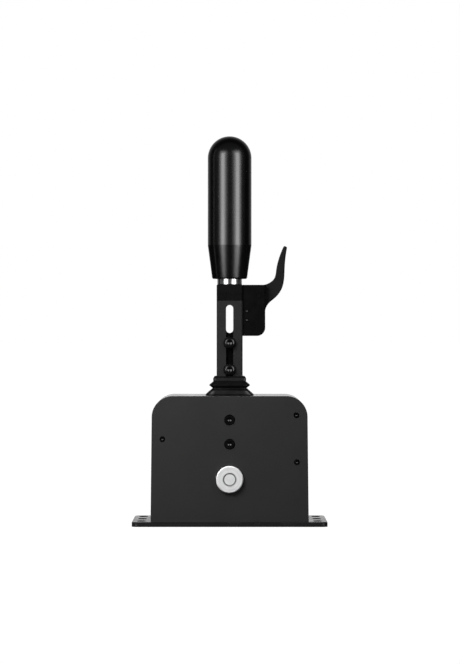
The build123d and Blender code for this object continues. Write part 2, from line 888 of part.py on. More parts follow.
def trigger_cover():
    """Front half of the box: a plate with bosses for the switch and recesses for the screw heads."""
    room = trigger_half_depth + trigger_gap
    plate = slab(box_outline(), -box_half_depth, -room)
    plate = break_box_edges(plate.faces().sort_by(Axis.Y)[0])
    for z in switch_screw_heights:
        plate += rod_y(switch_screw_x, z, switch_boss_r, -room, -switch_half_depth)
    plate = drill_box(plate)
    recess = switch_screw["head_h"]
    for z in switch_screw_heights:
        head_r = switch_screw["head_r"] + thread_gap
        plate -= rod_y(switch_screw_x, z, head_r, -box_half_depth - overrun, -box_half_depth + recess)
    return plate


def switch_screws():
    seat = -box_half_depth + switch_screw["head_h"]
    return group([to_front(switch_screw_x, seat, z) * cap_screw(switch_screw) for z in switch_screw_heights])


def housing_screws():
    """Two screws from inside the box into the head and the tube, heads on the box's inner wall."""
    seat_x = box_left + box_left_wall
    screws = housing_screw_set()
    return group([Pos(seat_x, 0, z) * Rot(0, 90, 0) * cap_screw(screw) for z, screw in screws])


def housing_screw_set():
    """The upper screw is full length; the lower one ends inside the tube's wall, clear of the arm."""
    short = dict(housing_screw, length=box_left_wall + stem_wall - running_gap)
    return list(zip(housing_screw_heights, (housing_screw, short)))


def trigger_pin():
    end = box_half_depth - pivot_r - running_gap
    pin = rod_y(pivot_x, pivot_z, pivot_r, -box_half_depth, end)
    return chamfer(pin.edges().filter_by(GeomType.CIRCLE), box_edge_chamfer / 2)


def hook_point(share):
    """A point of the hook from its shares."""
    return (box_right + share[0] * hook_reach, box_top_z + share[1] * hook_rise)


def trigger_outline():
    inner = [(box_right - box_right_wall, box_top_z)] + [hook_point(share) for share in hook_inner_shares]
    outer = [hook_point(share) for share in hook_outer_shares]
    tail_r = (tail_right_x - tail_left_x) / 2
    tail_z = tail_end_z + tail_r
    edge = Spline(*inner)
    edge += Line(inner[-1], outer[0])
    edge += Spline(*outer)
    edge += Polyline(outer[-1], (tail_right_x, outer[-1][1]), (tail_right_x, tail_z))
    tail_middle_x = (tail_left_x + tail_right_x) / 2
    edge += ThreePointArc((tail_right_x, tail_z), (tail_middle_x, tail_end_z), (tail_left_x, tail_z))
    edge += Polyline((tail_left_x, tail_z), (tail_left_x, pivot_z), inner[0])
    face = make_face(edge)
    face = fillet(face.vertices().sort_by(Axis.Y)[-2:], hook_tip_r)
    return face + Pos(pivot_x, pivot_z) * Circle(trigger_hub_r)


def trigger():
    """Finger lever: hook above the box, hub on the pin, tail that holds the switch."""
    lever = slab(trigger_outline(), -trigger_half_depth, trigger_half_depth)
    faces = lever.faces().sort_by(Axis.Y)
    lever = chamfer(faces[0].edges() + faces[-1].edges(), trigger_edge)
    lever -= rod_y(pivot_x, pivot_z, pivot_r + running_gap, -box_half_depth, box_half_depth)
    floor = -trigger_half_depth + spring_pocket_depth
    return lever - rod_y(pivot_x, pivot_z, spring_pocket_r, -box_half_depth, floor)


def trigger_spring():
    """Torsion spring round the pin, in the trigger's pocket."""
    front = -trigger_half_depth + trigger_gap
    rear = -trigger_half_depth + spring_pocket_depth - trigger_gap
    coil = rod_y(pivot_x, pivot_z, torsion_outer_r, front, rear)
    return coil - rod_y(pivot_x, pivot_z, torsion_outer_r - torsion_wire, front - overrun, rear + overrun)


# Switch in the trigger box


def blade_x(z):
    """X of the blade's left face at a height: it leans from the switch towards the trigger's tail."""
    foot_x = box_left + box_left_wall + switch_gap + switch_width + switch_gap
    top_x = tail_left_x - blade_gap - blade_thickness
    return foot_x + (top_x - foot_x) * (z - blade_foot_z) / (blade_top_z - blade_foot_z)


def trigger_switch():
    left = box_left + box_left_wall + switch_gap
    middle_z = sum(switch_screw_heights) / len(switch_screw_heights)
    body = block(
        (left, left + switch_width),
        (-switch_half_depth, switch_half_depth),
        (middle_z - switch_height / 2, middle_z + switch_height / 2),
    )
    for z in switch_screw_heights:
        body -= rod_y(switch_screw_x, z, switch_screw["r"] + thread_gap, -box_half_depth, box_half_depth)
    hole_x = left + switch_width - plunger_depth - plunger_gap
    return body - rod_x(0, plunger_z, plunger_r + plunger_gap, hole_x, box_right)


def switch_blade():
    profile = make_face(
        Polyline(
            (blade_x(blade_foot_z), blade_foot_z),
            (blade_x(blade_foot_z) + blade_thickness, blade_foot_z),
            (blade_x(blade_top_z) + blade_thickness, blade_top_z),
            (blade_x(blade_top_z), blade_top_z),
            close=True,
        )
    )
    return slab(profile, -blade_half_depth, blade_half_depth)


def switch_plunger():
    face_x = box_left + box_left_wall + switch_gap + switch_width
    return rod_x(0, plunger_z, plunger_r, face_x - plunger_depth, blade_x(plunger_z - plunger_r))


# Every node and its solids

nodes = dict(
    base_plate=base_plate(),
    base_screws=base_screws(),
    front_side_plate=side_plate(),
    rear_side_plate=rear_side_plate(),
    arch_cover=arch_cover(),
    cover_screws=cover_screws(),
    lever_boot=lever_boot(),
    axle_bush_front=axle_bush(),
    axle_bush_rear=mirror(axle_bush(), about=Plane.XZ),
    axle=axle(),
    axle_spacers=axle_spacers(),
    axle_set_screw=axle_set_screw(),
    lever_arm=lever_arm(),
    sensor_magnet=sensor_magnet(),
    stem_bolts=stem_bolts(),
    guide_block_front=guide_block(),
    guide_block_rear=mirror(guide_block(), about=Plane.XZ),
    guide_screws=guide_screws(),
    spring_bracket_right=spring_bracket(),
    spring_bracket_left=mirror(spring_bracket(), about=Plane.YZ),
    spring_rod=spring_rod(),
    rod_nuts=rod_nuts(),
    spring_cup_right=spring_cup(),
    spring_cup_left=mirror(spring_cup(), about=Plane.YZ),
    centring_spring_right=centring_spring(),
    centring_spring_left=mirror(centring_spring(), about=Plane.YZ),
    stop_block_right=stop_block(),
    stop_block_left=mirror(stop_block(), about=Plane.YZ),
    stop_screws=stop_screws(),
    stop_nuts=stop_nuts(),
    sensor_board=sensor_board(),
    sensor_spacers=sensor_spacers(),
    sensor_screws=sensor_screws(),
    controller_board=controller_board(),
    board_standoffs=board_standoffs(),
    board_screws=board_screws(),
    usb_socket=usb_socket(),
    stem_tube=stem_tube(),
    stem_head=stem_head(),
    knob_stud=knob_stud(),
    knob_collar=knob_collar(),
    shift_knob=shift_knob(),
    trigger_housing=trigger_housing(),
    trigger_cover=trigger_cover(),
    switch_screws=switch_screws(),
    housing_screws=housing_screws(),
    trigger_pin=trigger_pin(),
    trigger=trigger(),
    trigger_spring=trigger_spring(),
    trigger_switch=trigger_switch(),
    switch_blade=switch_blade(),
    switch_plunger=switch_plunger(),
)

os.makedirs("parts", exist_ok=True)
for name, shape in nodes.items():
    export_step(shape, f"parts/{name}.step")
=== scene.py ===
import bmesh
import bpy
import numpy as np
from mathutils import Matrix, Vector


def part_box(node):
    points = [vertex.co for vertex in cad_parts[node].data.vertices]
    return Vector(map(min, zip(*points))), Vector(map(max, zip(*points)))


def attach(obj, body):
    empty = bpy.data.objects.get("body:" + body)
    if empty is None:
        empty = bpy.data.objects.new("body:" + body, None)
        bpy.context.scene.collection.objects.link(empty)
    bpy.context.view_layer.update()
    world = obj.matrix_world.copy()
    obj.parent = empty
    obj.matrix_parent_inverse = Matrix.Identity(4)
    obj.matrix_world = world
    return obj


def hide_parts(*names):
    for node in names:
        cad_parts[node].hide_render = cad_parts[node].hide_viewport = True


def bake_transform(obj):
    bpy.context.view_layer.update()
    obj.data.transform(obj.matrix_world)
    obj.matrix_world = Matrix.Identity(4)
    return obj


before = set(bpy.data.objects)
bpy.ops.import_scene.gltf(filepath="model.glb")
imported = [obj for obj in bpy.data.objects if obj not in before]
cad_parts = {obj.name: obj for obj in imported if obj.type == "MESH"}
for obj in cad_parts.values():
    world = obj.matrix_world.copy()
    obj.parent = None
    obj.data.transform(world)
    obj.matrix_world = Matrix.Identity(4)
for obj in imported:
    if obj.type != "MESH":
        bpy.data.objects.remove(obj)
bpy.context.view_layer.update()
mm = 0.001


# Base plate: steel 4 mm thick, laser cut with three bolt slots in each flange, then powder coated.
# The coat is satin black with a fine dry grain, and its gloss changes slowly over the sheet.


def finish(name, colour, roughness, metallic=0.0, specular=0.5):
    """A finish with its plain numbers on the shader's own sockets. Its colour is one grey level, or
    the three levels of red, green and blue."""
    material = bpy.data.materials.new(name)
    material.use_nodes = True
    shader = material.node_tree.nodes["Principled BSDF"]
    levels = (colour, colour, colour) if isinstance(colour, float) else colour
    shader.inputs["Base Color"].default_value = (*levels, 1)
    shader.inputs["Roughness"].default_value = roughness
    shader.inputs["Metallic"].default_value = metallic
    shader.inputs["Specular IOR Level"].default_value = specular
    return material


def add_patches(material, size, shade, dull):
    """Slow changes over the surface: a noise of the given size in metres scales the colour by up to
    shade each way, and moves the roughness by up to dull each way. Most of the noise lies between
    its usual low and high values."""
    usual_low, usual_high, least_roughness = 0.3, 0.7, 0.02
    tree = material.node_tree
    shader = tree.nodes["Principled BSDF"]
    colour = np.array(shader.inputs["Base Color"].default_value[:3])
    roughness = shader.inputs["Roughness"].default_value
    place = tree.nodes.new("ShaderNodeTexCoord")
    noise = tree.nodes.new("ShaderNodeTexNoise")
    noise.inputs["Scale"].default_value = 1 / size
    noise.inputs["Detail"].default_value = 4
    tree.links.new(place.outputs["Object"], noise.inputs["Vector"])
    mix = tree.nodes.new("ShaderNodeMix")
    mix.data_type = "RGBA"
    mix.inputs["A"].default_value = (*(colour * (1 - shade)), 1)
    mix.inputs["B"].default_value = (*np.minimum(colour * (1 + shade), 1), 1)
    tree.links.new(noise.outputs["Fac"], mix.inputs["Factor"])
    tree.links.new(mix.outputs["Result"], shader.inputs["Base Color"])
    spread = tree.nodes.new("ShaderNodeMapRange")
    spread.inputs["From Min"].default_value = usual_low
    spread.inputs["From Max"].default_value = usual_high
    spread.inputs["To Min"].default_value = max(roughness - dull, least_roughness)
    spread.inputs["To Max"].default_value = roughness + dull
    tree.links.new(noise.outputs["Fac"], spread.inputs["Value"])
    tree.links.new(spread.outputs["Result"], shader.inputs["Roughness"])


def add_grain(material, size, height, stretch=(1, 1, 1)):
    """A fine grain: noise of the given size in metres, drawn out along the axes whose stretch is
    below 1, as a bump of the given height in metres."""
    tree = material.node_tree
    place = tree.nodes.new("ShaderNodeTexCoord")
    turn = tree.nodes.new("ShaderNodeMapping")
    turn.inputs["Scale"].default_value = stretch
    noise = tree.nodes.new("ShaderNodeTexNoise")
    noise.inputs["Scale"].default_value = 1 / size
    noise.inputs["Detail"].default_value = 2
    bump = tree.nodes.new("ShaderNodeBump")
    bump.inputs["Strength"].default_value = 1
    bump.inputs["Distance"].default_value = height
    tree.links.new(place.outputs["Object"], turn.inputs["Vector"])
    tree.links.new(turn.outputs["Vector"], noise.inputs["Vector"])
    tree.links.new(noise.outputs["Fac"], bump.inputs["Height"])
    tree.links.new(bump.outputs["Normal"], tree.nodes["Principled BSDF"].inputs["Normal"])


def coat(material, *names):
    """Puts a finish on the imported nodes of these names."""
    for name in names:
        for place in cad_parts[name].material_slots:
            place.material = material


base_coat = finish("base_powder_coat", colour=0.016, roughness=0.26, specular=0.48)
add_patches(base_coat, size=18 * mm, shade=0.12, dull=0.05)
add_grain(base_coat, size=0.55 * mm, height=0.012 * mm)
coat(base_coat, "base_plate")


# Screws: black oxide steel, countersunk from below into the plates, brackets and stop blocks, with
# larger cap screws sunk into the plates over the axle. Oil makes them darker and glossier than the coats.

black_oxide = finish("black_oxide_steel", colour=0.004, roughness=0.22, metallic=0.3)
add_patches(black_oxide, size=2.5 * mm, shade=0.25, dull=0.05)
coat(black_oxide, "base_screws", "guide_screws")


# Side plates: two aluminium plates 6 mm thick with two round corners, countersunk and counterbored.
# They are blasted and anodised a matt black, with a barely visible texture like fine sand.

plate_black = finish("plate_anodised_black", colour=0.0316, roughness=0.5, specular=0.12)
add_patches(plate_black, size=26 * mm, shade=0.08, dull=0.03)
add_grain(plate_black, size=0.5 * mm, height=0.014 * mm)
coat(plate_black, "front_side_plate", "rear_side_plate")


# Arch cover: one sheet 1.5 mm thick, bent over the housing and held by three small black screws
# through each plate. Its coat is smoother than the base's, so it shines along its bends and its top.

cover_coat = finish("cover_powder_coat", colour=0.022, roughness=0.2)
add_patches(cover_coat, size=22 * mm, shade=0.1, dull=0.04)
add_grain(cover_coat, size=0.7 * mm, height=0.008 * mm)
coat(cover_coat, "arch_cover")

screw_black = finish("small_screw_black", colour=0.0006, roughness=0.3, specular=0.15)
add_patches(screw_black, size=1.5 * mm, shade=0.25, dull=0.05)
coat(screw_black, "cover_screws")


# Axle bushes: flanged bushes turned from aluminium, pressed into the plates from outside.
# The tool leaves fine rings round the axle. The colour is darkened to three tenths in a narrow ring at
# the joint to it, and a little in a few broad rings about it.


def distance_from_axis(tree, centre):
    """The distance of a point of the surface from the line through centre along Y: the length of
    what is left of their difference with its Y set to zero."""
    place = tree.nodes.new("ShaderNodeTexCoord")
    shift = tree.nodes.new("ShaderNodeMapping")
    shift.inputs["Location"].default_value = [-c for c in centre]
    flatten = tree.nodes.new("ShaderNodeVectorMath")
    flatten.operation = "MULTIPLY"
    flatten.inputs[1].default_value = (1, 0, 1)
    distance = tree.nodes.new("ShaderNodeVectorMath")
    distance.operation = "LENGTH"
    tree.links.new(place.outputs["Object"], shift.inputs["Vector"])
    tree.links.new(shift.outputs["Vector"], flatten.inputs[0])
    tree.links.new(flatten.outputs["Vector"], distance.inputs[0])
    return distance.outputs["Value"]


def add_turning(material, centre, pitch, height):
    """Lathe rings as a bump: a sine of the distance from the axis through centre, with the pitch and
    the height in metres."""
    tree = material.node_tree
    turns = tree.nodes.new("ShaderNodeMath")
    turns.operation = "MULTIPLY"
    turns.inputs[1].default_value = 2 * np.pi / pitch
    wave = tree.nodes.new("ShaderNodeMath")
    wave.operation = "SINE"
    bump = tree.nodes.new("ShaderNodeBump")
    bump.inputs["Strength"].default_value = 1
    bump.inputs["Distance"].default_value = height
    tree.links.new(distance_from_axis(tree, centre), turns.inputs[0])
    tree.links.new(turns.outputs["Value"], wave.inputs[0])
    tree.links.new(wave.outputs["Value"], bump.inputs["Height"])
    tree.links.new(bump.outputs["Normal"], tree.nodes["Principled BSDF"].inputs["Normal"])


def ramp_stops(node, stops):
    """Sets a colour ramp to pairs of a place from 0 to 1 and a grey level."""
    while len(node.color_ramp.elements) < len(stops):
        node.color_ramp.elements.new(1.0)
    for element, (place, grey) in zip(node.color_ramp.elements, stops):
        element.position = place
        element.color = (grey, grey, grey, 1)


def add_ring_shades(material, centre, shades):
    """Multiplies the colour by shades that change with the distance from the axis through centre;
    they are pairs of that distance in metres and a factor, from the inside out."""
    tree = material.node_tree
    shader = tree.nodes["Principled BSDF"]
    before = shader.inputs["Base Color"].links[0].from_socket
    reach = tree.nodes.new("ShaderNodeMapRange")
    reach.inputs["From Max"].default_value = shades[-1][0]
    ramp = tree.nodes.new("ShaderNodeValToRGB")
    ramp_stops(ramp, [(radius / shades[-1][0], factor) for radius, factor in shades])
    mix = tree.nodes.new("ShaderNodeMix")
    mix.data_type = "RGBA"
    mix.blend_type = "MULTIPLY"
    mix.inputs["Factor"].default_value = 1
    tree.links.new(distance_from_axis(tree, centre), reach.inputs["Value"])
    tree.links.new(reach.outputs["Result"], ramp.inputs["Fac"])
    tree.links.new(before, mix.inputs["A"])
    tree.links.new(ramp.outputs["Color"], mix.inputs["B"])
    tree.links.new(mix.outputs["Result"], shader.inputs["Base Color"])


axle_low, axle_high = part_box("axle")
axle_centre = (axle_low + axle_high) / 2
joint_r = 5.0 * mm
past_joint = np.array([-5.0, -0.7, -0.4, 0.4, 0.8, 2.2, 3.4, 5.0, 9.0]) * mm
joint_shades = list(zip(joint_r + past_joint, (0.96, 1, 0.3, 0.3, 0.9, 1, 0.92, 1, 1)))
turned_silver = finish("turned_aluminium", colour=(0.97, 0.97, 0.98), roughness=0.5, metallic=0.08)
add_patches(turned_silver, size=4 * mm, shade=0.12, dull=0.08)
add_turning(turned_silver, axle_centre, pitch=0.35 * mm, height=0.004 * mm)
add_ring_shades(turned_silver, axle_centre, joint_shades)
coat(turned_silver, "axle_bush_front", "axle_bush_rear")


# Axle: ground steel shaft whose chamfered ends, faced on the lathe, show in the middle of the bushes.
# A black set screw locks the lever's hub to it; the spring rod is the same steel, left polished.

axle_steel = finish("ground_axle_steel", colour=(0.97, 0.97, 0.98), roughness=0.45, metallic=0.1)
add_patches(axle_steel, size=3 * mm, shade=0.14, dull=0.08)
add_turning(axle_steel, axle_centre, pitch=0.3 * mm, height=0.002 * mm)
# The axle's end gets the same darker rings as the bushes, centred on the joint.
add_ring_shades(axle_steel, axle_centre, joint_shades)
coat(axle_steel, "axle")
coat(black_oxide, "axle_set_screw")

polished_steel = finish("polished_steel", colour=(0.72, 0.72, 0.73), roughness=0.2, metallic=1.0)
add_patches(polished_steel, size=3 * mm, shade=0.03, dull=0.04)
add_grain(polished_steel, size=0.4 * mm, height=0.002 * mm)
coat(polished_steel, "spring_rod")

zinc_plate = finish("zinc_plated_steel", colour=(0.62, 0.63, 0.64), roughness=0.34, metallic=1.0)
add_patches(zinc_plate, size=1.5 * mm, shade=0.12, dull=0.06)
coat(zinc_plate, "rod_nuts", "stop_nuts", "sensor_screws", "board_screws")


# Guide blocks: milled from natural acetal, held behind the plates by the two large screws, with the
# arm between them. The cups that the springs press on the arm are acetal too; cutter marks run upwards.

natural_acetal = finish("natural_acetal", colour=(0.78, 0.76, 0.7), roughness=0.48)
add_patches(natural_acetal, size=9 * mm, shade=0.04, dull=0.05)
add_grain(natural_acetal, size=0.8 * mm, height=0.01 * mm, stretch=(1, 1, 0.08))
coat(natural_acetal, "guide_block_front", "guide_block_rear", "spring_cup_left", "spring_cup_right")


# Spring brackets: strips of steel, bent, drilled for the rod and coated as the base is.
# They stand inside the housing and take the springs' load.

coat(base_coat, "spring_bracket_left", "spring_bracket_right")


# Centring springs: wound from 2 mm spring steel wire with closed ends, on the rod through the arm.
# Each presses its cup against the arm, so the lever comes back to the middle.


def grid_piece(name, points, ring=False):
    """A mesh from rows of points that each close on themselves: four neighbours make a face, and
    the last row joins the first if ring is true. Points that coincide, as at a pole, are merged."""
    rows, columns = points.shape[:2]
    index = np.arange(rows * columns).reshape(rows, columns)
    index = np.hstack([index, index[:, :1]])
    if ring:
        index = np.vstack([index, index[:1]])
    faces = np.stack([index[:-1, :-1], index[:-1, 1:], index[1:, 1:], index[1:, :-1]], axis=-1)
    mesh = bpy.data.meshes.new(name)
    mesh.from_pydata(points.reshape(-1, 3).tolist(), [], faces.reshape(-1, 4).tolist())
    cleaned = bmesh.new()
    cleaned.from_mesh(mesh)
    bmesh.ops.remove_doubles(cleaned, verts=cleaned.verts, dist=1e-7)
    cleaned.to_mesh(mesh)
    cleaned.free()
    mesh.polygons.foreach_set("use_smooth", np.ones(len(mesh.polygons), bool))
    mesh.update()
    piece = bpy.data.objects.new(name, mesh)
    bpy.context.scene.collection.objects.link(piece)
    return piece


def coil(name, start, along, across, length, turns, centre_r, wire_r):
    """A round wire on a helix: it turns about the axis from start along the unit vector along, at
    centre_r, and its pitch eases to the wire's own width at both ends, as closed ends do."""
    steps_a_turn, wire_sides = 28, 12
    along, across = np.array(along, float), np.array(across, float)
    third = np.cross(along, across)
    share = np.linspace(0, 1, int(turns * steps_a_turn) + 1)
    turn = 2 * np.pi * turns * share
    closed = wire_r * 2 / length
    rise = closed * share + (1 - closed) * (3 * share**2 - 2 * share**3)
    height = wire_r + (length - 2 * wire_r) * rise
    out = np.cos(turn)[:, None] * across + np.sin(turn)[:, None] * third
    middle = np.array(start, float) + height[:, None] * along + centre_r * out
    ahead = np.gradient(middle, axis=0)
    ahead /= np.linalg.norm(ahead, axis=1)[:, None]
    side = np.cross(ahead, out)
    side /= np.linalg.norm(side, axis=1)[:, None]
    normal = np.cross(side, ahead)
    angle = np.linspace(0, 2 * np.pi, wire_sides, endpoint=False)[None, :, None]
    ring = np.cos(angle) * normal[:, None, :] + np.sin(angle) * side[:, None, :]
    tube = middle[:, None, :] + wire_r * ring
    caps = np.repeat(middle[[0, -1]][:, None, :], wire_sides, axis=1)
    return grid_piece(name, np.concatenate([caps[:1], tube, caps[1:]]))


spring_steel = finish("spring_steel", colour=(0.4, 0.4, 0.41), roughness=0.36, metallic=1.0)
add_patches(spring_steel, size=2 * mm, shade=0.15, dull=0.07)
spring_wire = 2 * mm
for side, sign in (("left", -1), ("right", 1)):
    low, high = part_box(f"centring_spring_{side}")
    middle = (low + high) / 2
    outer_r = (high.z - low.z) / 2
    inner_end = high.x if sign < 0 else low.x
    spring = coil(
        f"wound_spring_{side}",
        start=(inner_end, middle.y, middle.z),
        along=(sign, 0, 0),
        across=(0, 0, 1),
        length=high.x - low.x,
        turns=9,
        centre_r=outer_r - spring_wire / 2,
        wire_r=spring_wire / 2,
    )
    spring.data.materials.append(spring_steel)
    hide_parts(f"centring_spring_{side}")
    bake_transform(spring)


# Stop blocks: milled from aluminium and anodised black, screwed to the base beside the arm's tail.
# The marks of the cutter cross them; the black screws in them set how far the lever swings.

machined_black = finish("machined_anodised_black", colour=0.045, roughness=0.34, metallic=0.3)
add_patches(machined_black, size=5 * mm, shade=0.1, dull=0.06)
add_grain(machined_black, size=0.9 * mm, height=0.006 * mm, stretch=(1, 0.08, 1))
coat(machined_black, "stop_block_left", "stop_block_right", "axle_spacers")
coat(black_oxide, "stop_screws")


# Swing sensor: a board on two spacers under the lever's tail, which carries a nickel plated magnet.
# The boards are glass laminate under green lacquer, cloudy and a little ridged over the copper.

board_lacquer = finish("green_board_lacquer", colour=(0.015, 0.12, 0.045), roughness=0.34)
add_patches(board_lacquer, size=3 * mm, shade=0.35, dull=0.05)
add_grain(board_lacquer, size=1.2 * mm, height=0.01 * mm, stretch=(1, 1, 0.15))
coat(board_lacquer, "sensor_board", "controller_board")

white_nylon = finish("white_nylon", colour=(0.72, 0.72, 0.7), roughness=0.5)
add_patches(white_nylon, size=2 * mm, shade=0.05, dull=0.05)
coat(white_nylon, "sensor_spacers")

nickel = finish("nickel_plate", colour=(0.7, 0.68, 0.64), roughness=0.2, metallic=1.0)
add_patches(nickel, size=1 * mm, shade=0.06, dull=0.05)
coat(nickel, "sensor_magnet")


# Controller: a board on four brass posts behind the rear plate, with its socket in the plate.
# The socket is a drawn steel shell round a tongue.

brass = finish("brass", colour=(0.78, 0.58, 0.28), roughness=0.3, metallic=1.0)
add_patches(brass, size=1.5 * mm, shade=0.1, dull=0.06)
coat(brass, "board_standoffs")

drawn_shell = finish("drawn_socket_shell", colour=(0.66, 0.66, 0.67), roughness=0.27, metallic=1.0)
add_patches(drawn_shell, size=1.2 * mm, shade=0.06, dull=0.05)
coat(drawn_shell, "usb_socket")


# Lever arm: machined from aluminium and anodised deep black, with its hub, tail and notch.
# It stands inside the tube and shows black through the slot; cutter marks run along it.

arm_black = finish("arm_anodised_black", colour=0.002, roughness=0.3, specular=0.1)
add_patches(arm_black, size=7 * mm, shade=0.2, dull=0.06)
add_grain(arm_black, size=0.6 * mm, height=0.004 * mm, stretch=(1, 1, 0.1))
coat(arm_black, "lever_arm")


# Boot: bellows of soft black rubber between the housing's top and the foot of the tube.
# A skirt, longer than deep, lies on the cover; one full fold stands over it under a narrow collar.


def rounded(corners, reach, steps):
    """The closed outline through these corners, each rounded by a parabola that starts and ends at
    the given distances from it, no further than half-way to the next corner."""
    before, after = np.roll(corners, 1, axis=0) - corners, np.roll(corners, -1, axis=0) - corners
    length_before = np.linalg.norm(before, axis=1)[:, None]
    length_after = np.linalg.norm(after, axis=1)[:, None]
    start = corners + before * np.minimum(reach[:, None] / length_before, 0.5)
    end = corners + after * np.minimum(reach[:, None] / length_after, 0.5)
    share = np.linspace(0, 1, steps)[None, :, None]
    first, second, third = start[:, None, :], corners[:, None, :], end[:, None, :]
    curve = (1 - share) ** 2 * first + 2 * share * (1 - share) * second + share**2 * third
    return curve.reshape(-1, corners.shape[1])


def bellows(name, outline, flat_half, corner_steps, flat_steps):
    """Carries a closed outline round a rectangle with round corners. Each of its points is a half
    length, a half depth and a height; the flats keep their half-length, so a corner is a quarter
    of an ellipse whose radii are the two halves less that half-length."""
    turn = np.linspace(0, np.pi / 2, corner_steps)
    slide = np.linspace(-flat_half, flat_half, flat_steps + 2)[1:-1]
    height = outline[:, 2:]
    sides = []
    for quarter in range(4):
        angle = quarter * np.pi / 2
        along, across = outline[:, quarter % 2, None], outline[:, 1 - quarter % 2, None]
        x = np.hstack([along + 0 * slide, flat_half + (along - flat_half) * np.cos(turn)])
        y = np.hstack([slide + 0 * along, flat_half + (across - flat_half) * np.sin(turn)])
        cosine, sine = np.cos(angle), np.sin(angle)
        sides.append(np.stack([x * cosine - y * sine, x * sine + y * cosine], axis=-1))
    ring = np.concatenate(sides, axis=1)
    z = np.repeat(height, ring.shape[1], axis=1)
    return grid_piece(name, np.dstack([ring, z]), ring=True)


boot_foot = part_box("lever_boot")[0]
boot_flat_half, boot_wall, boot_bend_height = 11.5 * mm, 1.0 * mm, 6 * mm
fold_heights = np.array([0, 0.7, 3.8, 4.6, 6.0, 8.5, 11.4, 12.4, 14.2, 15.9]) * mm
fold_lengths = np.array([19.9, 20.0, 16.55, 15.6, 13.9, 17.1, 13.6, 13.65, 13.7, 12.5]) * mm
fold_depths = np.array([14.6, 15.4, 15.35, 14.9, 13.7, 16.8, 14.5, 13.7, 13.7, 12.5]) * mm
fold_reach = np.array([0.3, 0.3, 0.4, 0.4, 0.7, 0.55, 0.4, 0.5, 0.6, 0.4]) * mm
outside = np.stack([fold_lengths, fold_depths, boot_foot.z + fold_heights], axis=1)
inside = outside[::-1] - [boot_wall, boot_wall, 0]
wall_reach = np.concatenate([fold_reach, fold_reach[::-1]])
outline = rounded(np.concatenate([outside, inside]), wall_reach, steps=7)
boot = bellows("rubber_boot", outline, boot_flat_half, corner_steps=9, flat_steps=3)
boot_rubber = finish("boot_rubber", colour=0.0008, roughness=0.4, specular=0.62)
add_patches(boot_rubber, size=6 * mm, shade=0.15, dull=0.05)
add_grain(boot_rubber, size=0.45 * mm, height=0.01 * mm)
boot.data.materials.append(boot_rubber)
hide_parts("lever_boot")
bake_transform(boot)


# Stem: square aluminium tube with a long slot front and rear, anodised black over fine blasting.
# It slides on the arm, and two button head bolts in the slot hold its height.

anodised = finish("black_anodised_aluminium", colour=0.0208, roughness=0.42, metallic=0.2, specular=0.3)
add_patches(anodised, size=20 * mm, shade=0.08, dull=0.04)
add_grain(anodised, size=0.4 * mm, height=0.006 * mm)
coat(anodised, "stem_tube")

bolt_black = finish("oiled_bolt_black", colour=0.006, roughness=0.16, metallic=0.35, specular=0.95)
add_patches(bolt_black, size=2.5 * mm, shade=0.25, dull=0.04)
coat(bolt_black, "stem_bolts")


# Drill points: the hexagon sockets of the bolts and screws that face outwards end in a shallow cone.
# Each shows as two small glints, one from the lights on either side.


def drill_point(name, point, facing, radius, rise):
    """A hollow cone: its tip is at point, and y moves from it in the direction facing, 1 or -1, by
    rise times the share of the rim's radius that is reached."""
    cone_sides, cone_rings = 24, 5
    around = np.linspace(0, 2 * np.pi, cone_sides, endpoint=False)[None, :]
    reach = np.linspace(0, radius, cone_rings)[:, None]
    x = point[0] + reach * np.cos(around)
    y = point[1] + facing * rise * reach / radius + 0 * around
    z = point[2] - facing * reach * np.sin(around)
    return grid_piece(name, np.stack([x, y, z], axis=-1))


bolts_low, bolts_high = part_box("stem_bolts")
screws_low, screws_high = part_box("guide_screws")
bolt_head_r, bolt_socket_depth, bolt_cone_r = 5.25 * mm, 1.9 * mm, 1.85 * mm
guide_head_r, guide_socket_depth, guide_cone_r = 4.25 * mm, 1.7 * mm, 1.4 * mm
small_socket_depth, small_cone_r = 0.7 * mm, 0.7 * mm
cover_screw_places = ((-55.2 * mm, 71.95 * mm), (54.8 * mm, 91.6 * mm), (55.2 * mm, 53.1 * mm))
switch_screw_x, upper_switch_z, lower_switch_z = 14.3 * mm, 177.5 * mm, 170.0 * mm
cone_slope = 0.37
bolt_y = bolts_low.y + bolt_socket_depth
drilled = [
    ("upper_bolt", 0, bolt_y, bolts_high.z - bolt_head_r, -1, bolt_cone_r, "lever"),
    ("lower_bolt", 0, bolt_y, bolts_low.z + bolt_head_r, -1, bolt_cone_r, "lever"),
]
for side, y, facing in (("front", screws_low.y, -1), ("rear", screws_high.y, 1)):
    guide_y, cover_y = y - facing * guide_socket_depth, y - facing * small_socket_depth
    for height, z in (("upper", screws_high.z - guide_head_r), ("lower", screws_low.z + guide_head_r)):
        drilled.append((f"{height}_{side}_guide_screw", 0, guide_y, z, facing, guide_cone_r, "housing"))
    for number, (x, z) in enumerate(cover_screw_places):
        name = f"{side}_cover_screw_{number}"
        drilled.append((name, x, cover_y, z, facing, small_cone_r, "housing"))
switch_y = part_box("switch_screws")[0].y + small_socket_depth
for height, z in (("upper", upper_switch_z), ("lower", lower_switch_z)):
    drilled.append((f"{height}_switch_screw", switch_screw_x, switch_y, z, -1, small_cone_r, "stem"))
for name, x, y, z, facing, radius, body in drilled:
    cone = drill_point(f"{name}_drill_point", (x, y, z), facing, radius, cone_slope * radius)
    cone.data.materials.append(bolt_black)
    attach(cone, body)


# Head: a solid aluminium block on the tube, anodised with a smoother and deeper black.
# The polished stud that carries the knob is screwed into it.

head_anodised = finish("deep_black_anodised", colour=0.0035, roughness=0.28, specular=0.27)
add_patches(head_anodised, size=9 * mm, shade=0.12, dull=0.04)
add_grain(head_anodised, size=0.5 * mm, height=0.003 * mm)
coat(head_anodised, "stem_head")
coat(polished_steel, "knob_stud")


# Collar: a ring turned from aluminium, with a bright last cut. It stands on the head round the stud
# and takes the knob's load.

